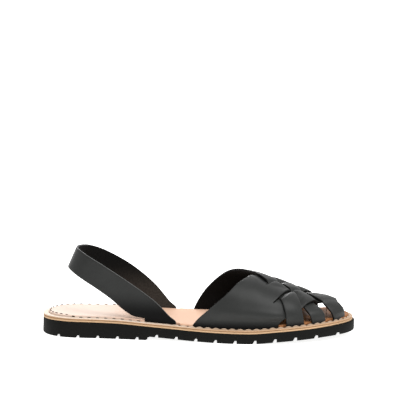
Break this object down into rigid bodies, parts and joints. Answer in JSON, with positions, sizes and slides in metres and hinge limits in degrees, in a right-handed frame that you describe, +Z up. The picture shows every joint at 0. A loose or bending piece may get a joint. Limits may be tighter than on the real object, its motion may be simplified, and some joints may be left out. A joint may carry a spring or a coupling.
{
  "type": "leather sandal",
  "caption": "Flat open sandal with a woven leather vamp, a slingback heel strap, a leather insole and welt, and a low grooved rubber sole.",
  "frame": {"origin": "on the floor, under the middle of the sole's length and width", "axes": "+X towards the toe, +Y towards the inner side of the foot, +Z up"},
  "size_m": [0.25, 0.0904, 0.0693],
  "materials": {
    "rubber": "moulded black rubber, dull",
    "midsole_leather": "raw light leather edge",
    "welt_leather": "tan leather with a burnished edge",
    "insole_leather": "natural pinkish leather, smooth and undyed",
    "upper_leather": "black full-grain leather, satin"
  },
  "bodies": {
    "root": {"outsole": "rubber", "midsole": "midsole_leather", "welt": "welt_leather", "insole": "insole_leather", "vamp": "upper_leather", "heel_strap": "upper_leather"}
  },
  "joints": []
}
